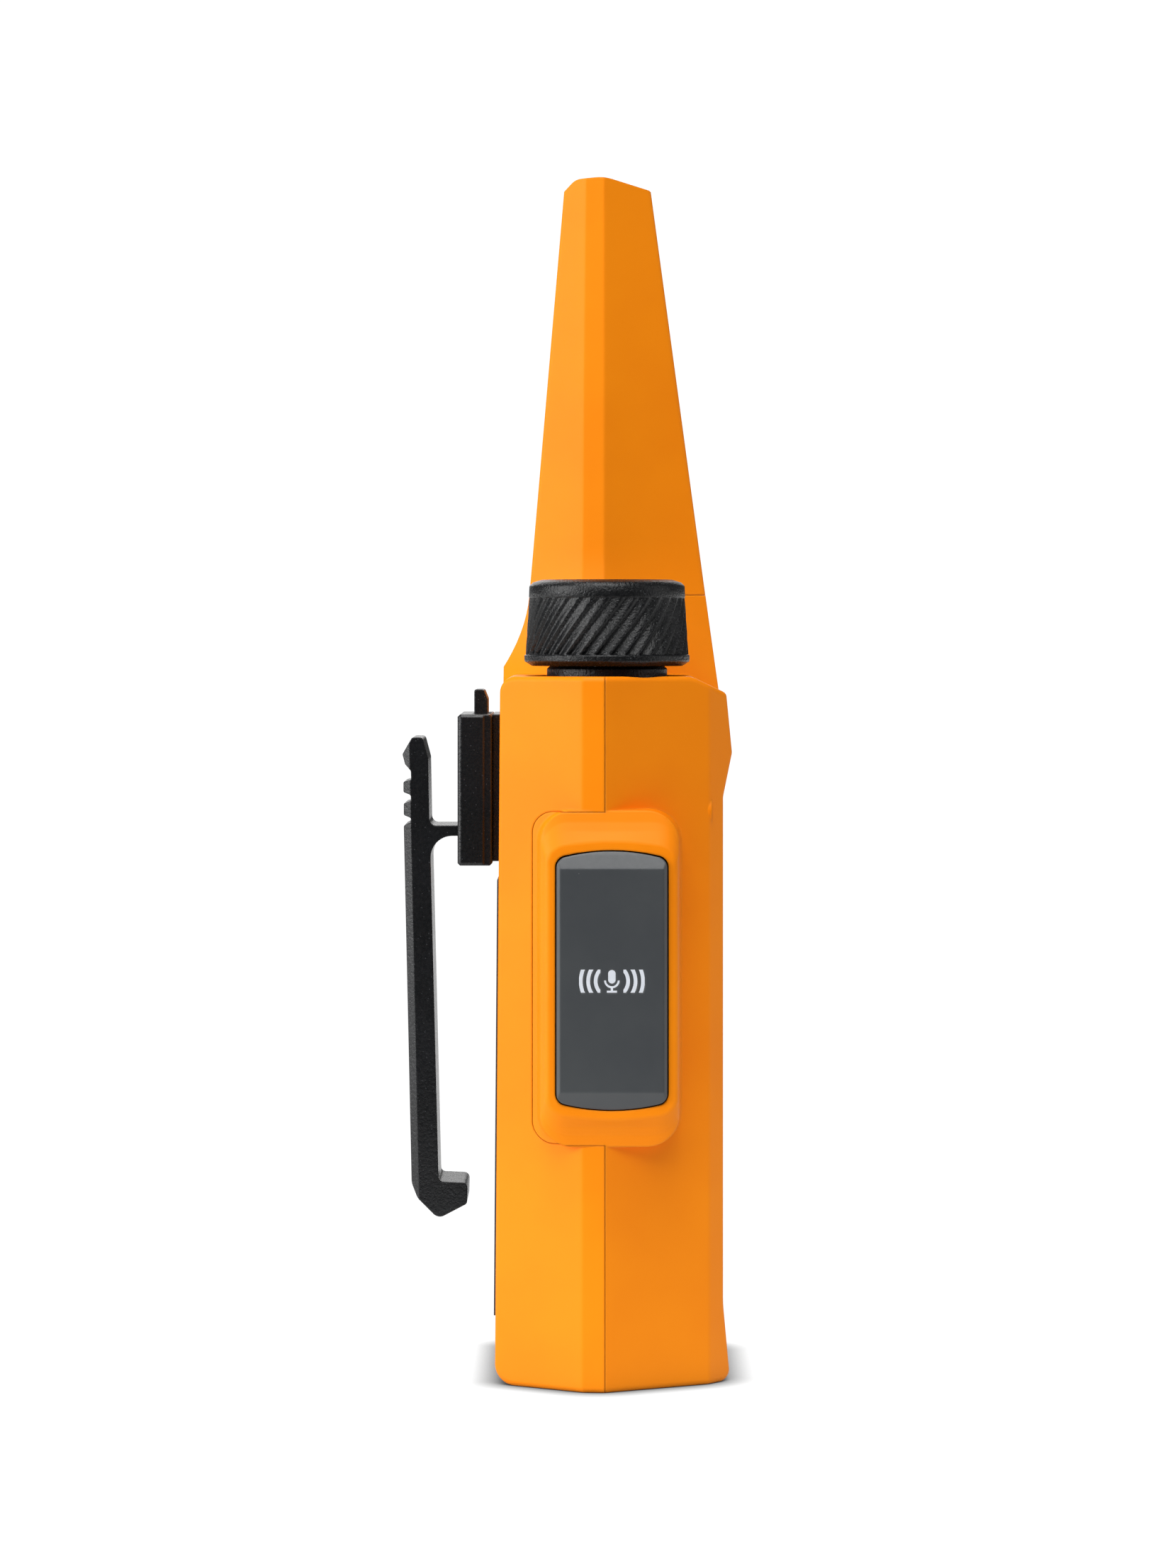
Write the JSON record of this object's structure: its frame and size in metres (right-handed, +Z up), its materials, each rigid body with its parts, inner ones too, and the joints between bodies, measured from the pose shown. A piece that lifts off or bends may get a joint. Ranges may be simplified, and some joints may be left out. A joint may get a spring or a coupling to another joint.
{
  "type": "two way radio",
  "caption": "Handheld two way radio with a faceted case, fixed tapered antenna, knurled volume knob, side talk button and a sliding belt clip.",
  "frame": {"origin": "centre of the base, on the parting plane of the two case halves", "axes": "+Z up along the antenna, front (display) towards -Y, belt clip towards +Y, talk button towards -X"},
  "size_m": [0.0597, 0.0501, 0.1839],
  "materials": {
    "case_orange": "satin moulded ABS, very fine grain",
    "knob_black": "moulded with diagonal ribs",
    "clip_black": "moulded, fine speckled grain",
    "button_grey": "satin moulded",
    "print_white": "pad printed",
    "seal_rubber": "matt",
    "fascia_grey": "satin moulded",
    "window_clear": "clear polycarbonate",
    "display_grey": "display glass",
    "key_grey": "matt silicone",
    "board_green": "solder mask",
    "steel": "zinc plated",
    "brass": "turned",
    "white_nylon": "moulded",
    "inner_black": "moulded",
    "grille_cloth": "woven acoustic cloth",
    "cell_wrap": "shrink sleeve",
    "door_grey": "moulded, fine grain",
    "lens_clear": "clear light pipe",
    "cover_rubber": "matt"
  },
  "bodies": {
    "case": {"front_shell": "case_orange", "back_shell": "case_orange", "antenna_cover": "case_orange", "case_seal": "seal_rubber", "antenna_mount": "brass", "antenna_former": "white_nylon", "antenna_coil": "brass", "rotary_switch": "inner_black", "knob_collar": "knob_black", "ptt_seal": "seal_rubber", "ptt_board": "board_green", "ptt_switch": "inner_black", "front_fascia": "fascia_grey", "lcd_window": "window_clear", "lcd_module": "display_grey", "keypad_mat": "key_grey", "status_lens": "lens_clear", "main_board": "board_green", "rf_shield": "steel", "speaker_cloth": "grille_cloth", "speaker": "inner_black", "microphone": "steel", "port_board": "board_green", "audio_jack": "inner_black", "usb_port": "steel", "battery_cells": "cell_wrap", "battery_springs": "steel", "battery_plates": "steel", "battery_tray": "inner_black", "case_screws": "steel", "clip_rail": "clip_black", "rail_screws": "steel"},
    "talk_button": {"ptt_button": "button_grey", "ptt_symbol": "print_white"},
    "volume_knob": {"knob": "knob_black", "knob_shaft": "steel"},
    "clip_slider": {"clip_block": "clip_black"},
    "clip_arm": {"clip_lever": "clip_black"},
    "clip_catch": {"clip_release": "clip_black"},
    "door": {"battery_door": "door_grey"},
    "menu_key": {"key_menu": "key_grey"},
    "call_key": {"key_call": "key_grey"},
    "up_key": {"key_up": "key_grey"},
    "down_key": {"key_down": "key_grey"},
    "port_cover": {"jack_cover": "cover_rubber"}
  },
  "joints": [
    {"name": "ptt_press", "type": "slide", "parent": "case", "child": "talk_button", "axis": [1, 0, 0], "range_m": [0, 0.001], "stiffness_N_per_m": 2500, "springref_m": -0.0006},
    {"name": "knob_turn", "type": "hinge", "parent": "case", "child": "volume_knob", "pos_m": [-0.014, -0.00035, 0.11], "axis": [0, 0, 1], "range_deg": [0, 270]},
    {"name": "clip_slide", "type": "slide", "parent": "case", "child": "clip_slider", "axis": [0, 0, 1], "range_m": [0, 0.022]},
    {"name": "clip_flex", "type": "hinge", "parent": "clip_slider", "child": "clip_arm", "pos_m": [0, 0.0215, 0.08245], "axis": [1, 0, 0], "range_deg": [0, 12], "stiffness_Nm_per_rad": 0.2, "springref_deg": -2.29},
    {"name": "release_press", "type": "hinge", "parent": "clip_slider", "child": "clip_catch", "pos_m": [0, 0.0187, 0.09875], "axis": [1, 0, 0], "range_deg": [0, 8], "stiffness_Nm_per_rad": 0.05, "springref_deg": -1.72},
    {"name": "door_slide", "type": "slide", "parent": "case", "child": "door", "axis": [0, 0, -1], "range_m": [0, 0.005]},
    {"name": "menu_press", "type": "slide", "parent": "case", "child": "menu_key", "axis": [0, 1, 0], "range_m": [0, 0.0005], "stiffness_N_per_m": 3000, "springref_m": -0.0002},
    {"name": "call_press", "type": "slide", "parent": "case", "child": "call_key", "axis": [0, 1, 0], "range_m": [0, 0.0005], "stiffness_N_per_m": 3000, "springref_m": -0.0002},
    {"name": "up_press", "type": "slide", "parent": "case", "child": "up_key", "axis": [0, 1, 0], "range_m": [0, 0.0005], "stiffness_N_per_m": 3000, "springref_m": -0.0002},
    {"name": "down_press", "type": "slide", "parent": "case", "child": "down_key", "axis": [0, 1, 0], "range_m": [0, 0.0005], "stiffness_N_per_m": 3000, "springref_m": -0.0002},
    {"name": "port_cover_open", "type": "hinge", "parent": "case", "child": "port_cover", "pos_m": [0.02721, 0.005, 0.077], "axis": [0, 0, 1], "range_deg": [0, 110]}
  ]
}
